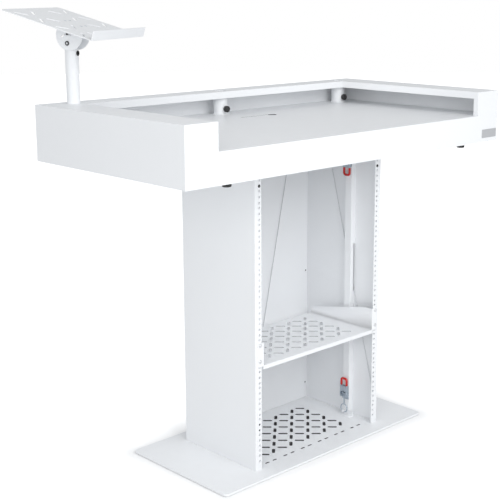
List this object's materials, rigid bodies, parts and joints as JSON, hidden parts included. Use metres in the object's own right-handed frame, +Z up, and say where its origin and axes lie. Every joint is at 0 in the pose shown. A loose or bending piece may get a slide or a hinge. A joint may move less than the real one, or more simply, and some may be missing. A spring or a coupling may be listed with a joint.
{
  "type": "presentation lectern",
  "caption": "Demountable steel lectern: rimmed desk on an open rack column with a vented shelf, base plate, pole sockets and a tilting document tray",
  "frame": {"origin": "on the floor, under the middle of the base plate", "axes": "+X to the right as the speaker side (front, -Y) is faced, +Y to the rear, +Z up"},
  "size_m": [1.2806, 0.7229, 1.2335],
  "materials": {
    "white_powder_coat": "satin powder coat with a fine orange-peel texture",
    "zinc_plate": "bright zinc plate",
    "steel_wire": "drawn steel wire",
    "black_plastic": "matte moulded plastic",
    "red_grip": "dipped vinyl grip",
    "black_rubber": "matte rubber",
    "black_steel": "black oxide",
    "grey_label": "satin blank plate"
  },
  "bodies": {
    "lectern": {"base_plate": "white_powder_coat", "brace_anchors": "zinc_plate", "brace_wires": "steel_wire", "column_top_frame": "white_powder_coat", "desk_back_wall": "white_powder_coat", "desk_catches": "white_powder_coat", "desk_front_panel": "white_powder_coat", "desk_left_wall": "white_powder_coat", "desk_locating_pins": "zinc_plate", "desk_mount_plate": "white_powder_coat", "desk_right_wall": "white_powder_coat", "desk_rim": "white_powder_coat", "floor_catches": "white_powder_coat", "floor_pads": "black_rubber", "label_plate": "grey_label", "latch_bases": "zinc_plate", "latch_pivots": "zinc_plate", "left_bearer": "white_powder_coat", "left_bottom_cover": "white_powder_coat", "left_side_wall": "white_powder_coat", "left_upright_channel": "white_powder_coat", "rack_plugs": "black_plastic", "rack_screws": "zinc_plate", "rack_shelf": "white_powder_coat", "rear_panel": "white_powder_coat", "rear_panel_screws": "zinc_plate", "right_bearer": "white_powder_coat", "right_bottom_cover": "white_powder_coat", "right_side_wall": "white_powder_coat", "right_upright_channel": "white_powder_coat", "socket_left": "white_powder_coat", "socket_middle": "white_powder_coat", "socket_right": "white_powder_coat", "worktop": "white_powder_coat"},
    "pole": {"pole": "white_powder_coat", "pole_grommet": "black_rubber", "tilt_bolt": "black_steel", "tilt_stop_pin": "black_steel"},
    "tray": {"tray": "white_powder_coat", "tray_bracket": "white_powder_coat", "tray_screws": "zinc_plate"},
    "clamp_knob_left": {"clamp_knob_left": "black_plastic"},
    "clamp_knob_middle": {"clamp_knob_middle": "black_plastic"},
    "clamp_knob_right": {"clamp_knob_right": "black_plastic"},
    "cover_knob_left_front": {"cover_knob_left_front": "black_plastic"},
    "cover_knob_left_rear": {"cover_knob_left_rear": "black_plastic"},
    "cover_knob_right_front": {"cover_knob_right_front": "black_plastic"},
    "cover_knob_right_rear": {"cover_knob_right_rear": "black_plastic"},
    "latch_lower_left_lever": {"latch_lower_left_lever": "zinc_plate", "latch_lower_left_grip": "red_grip"},
    "latch_lower_left_loop": {"latch_lower_left_loop": "zinc_plate"},
    "latch_lower_right_lever": {"latch_lower_right_lever": "zinc_plate", "latch_lower_right_grip": "red_grip"},
    "latch_lower_right_loop": {"latch_lower_right_loop": "zinc_plate"},
    "latch_upper_left_lever": {"latch_upper_left_lever": "zinc_plate", "latch_upper_left_grip": "red_grip"},
    "latch_upper_left_loop": {"latch_upper_left_loop": "zinc_plate"},
    "latch_upper_right_lever": {"latch_upper_right_lever": "zinc_plate", "latch_upper_right_grip": "red_grip"},
    "latch_upper_right_loop": {"latch_upper_right_loop": "zinc_plate"}
  },
  "joints": [
    {"name": "pole_swivel", "type": "hinge", "parent": "lectern", "child": "pole", "pos_m": [-0.51, 0.264, 0.95], "axis": [0, 0, 1], "range_deg": [-170, 170]},
    {"name": "tray_tilt", "type": "hinge", "parent": "pole", "child": "tray", "pos_m": [-0.51, 0.264, 1.146], "axis": [0.9026, 0.4305, 0], "range_deg": [-25, 44]},
    {"name": "clamp_knob_left_turn", "type": "hinge", "parent": "lectern", "child": "clamp_knob_left", "pos_m": [-0.51, 0.235, 0.938], "axis": [0, 1, 0], "range_deg": [0, 270]},
    {"name": "clamp_knob_middle_turn", "type": "hinge", "parent": "lectern", "child": "clamp_knob_middle", "pos_m": [0, 0.235, 0.938], "axis": [0, 1, 0], "range_deg": [0, 270]},
    {"name": "clamp_knob_right_turn", "type": "hinge", "parent": "lectern", "child": "clamp_knob_right", "pos_m": [0.51, 0.235, 0.938], "axis": [0, 1, 0], "range_deg": [0, 270]},
    {"name": "cover_knob_left_front_turn", "type": "hinge", "parent": "lectern", "child": "cover_knob_left_front", "pos_m": [-0.455, -0.2715, 0.84], "axis": [0, 0, 1], "range_deg": [0, 270]},
    {"name": "cover_knob_left_rear_turn", "type": "hinge", "parent": "lectern", "child": "cover_knob_left_rear", "pos_m": [-0.455, 0.2835, 0.84], "axis": [0, 0, 1], "range_deg": [0, 270]},
    {"name": "cover_knob_right_front_turn", "type": "hinge", "parent": "lectern", "child": "cover_knob_right_front", "pos_m": [0.455, -0.2715, 0.84], "axis": [0, 0, 1], "range_deg": [0, 270]},
    {"name": "cover_knob_right_rear_turn", "type": "hinge", "parent": "lectern", "child": "cover_knob_right_rear", "pos_m": [0.455, 0.2835, 0.84], "axis": [0, 0, 1], "range_deg": [0, 270]},
    {"name": "latch_lower_left_open", "type": "hinge", "parent": "lectern", "child": "latch_lower_left_lever", "pos_m": [-0.2205, -0.0405, 0.068], "axis": [0, 1, 0], "range_deg": [0, 85]},
    {"name": "latch_lower_left_loop_swing", "type": "hinge", "parent": "latch_lower_left_lever", "child": "latch_lower_left_loop", "pos_m": [-0.2213, -0.0405, 0.075], "axis": [0, 1, 0], "range_deg": [-80, 5]},
    {"name": "latch_lower_right_open", "type": "hinge", "parent": "lectern", "child": "latch_lower_right_lever", "pos_m": [0.2205, -0.0405, 0.068], "axis": [0, -1, 0], "range_deg": [0, 85]},
    {"name": "latch_lower_right_loop_swing", "type": "hinge", "parent": "latch_lower_right_lever", "child": "latch_lower_right_loop", "pos_m": [0.2213, -0.0405, 0.075], "axis": [0, -1, 0], "range_deg": [-80, 5]},
    {"name": "latch_upper_left_open", "type": "hinge", "parent": "lectern", "child": "latch_upper_left_lever", "pos_m": [-0.2205, -0.0405, 0.805], "axis": [0, -1, 0], "range_deg": [0, 85]},
    {"name": "latch_upper_left_loop_swing", "type": "hinge", "parent": "latch_upper_left_lever", "child": "latch_upper_left_loop", "pos_m": [-0.2213, -0.0405, 0.798], "axis": [0, -1, 0], "range_deg": [-80, 5]},
    {"name": "latch_upper_right_open", "type": "hinge", "parent": "lectern", "child": "latch_upper_right_lever", "pos_m": [0.2205, -0.0405, 0.805], "axis": [0, 1, 0], "range_deg": [0, 85]},
    {"name": "latch_upper_right_loop_swing", "type": "hinge", "parent": "latch_upper_right_lever", "child": "latch_upper_right_loop", "pos_m": [0.2213, -0.0405, 0.798], "axis": [0, 1, 0], "range_deg": [-80, 5]}
  ],
  "couplings": [
    {"joint": "latch_lower_left_loop_swing", "follows": "latch_lower_left_open", "ratio": -0.9},
    {"joint": "latch_lower_right_loop_swing", "follows": "latch_lower_right_open", "ratio": -0.9},
    {"joint": "latch_upper_left_loop_swing", "follows": "latch_upper_left_open", "ratio": -0.9},
    {"joint": "latch_upper_right_loop_swing", "follows": "latch_upper_right_open", "ratio": -0.9}
  ]
}
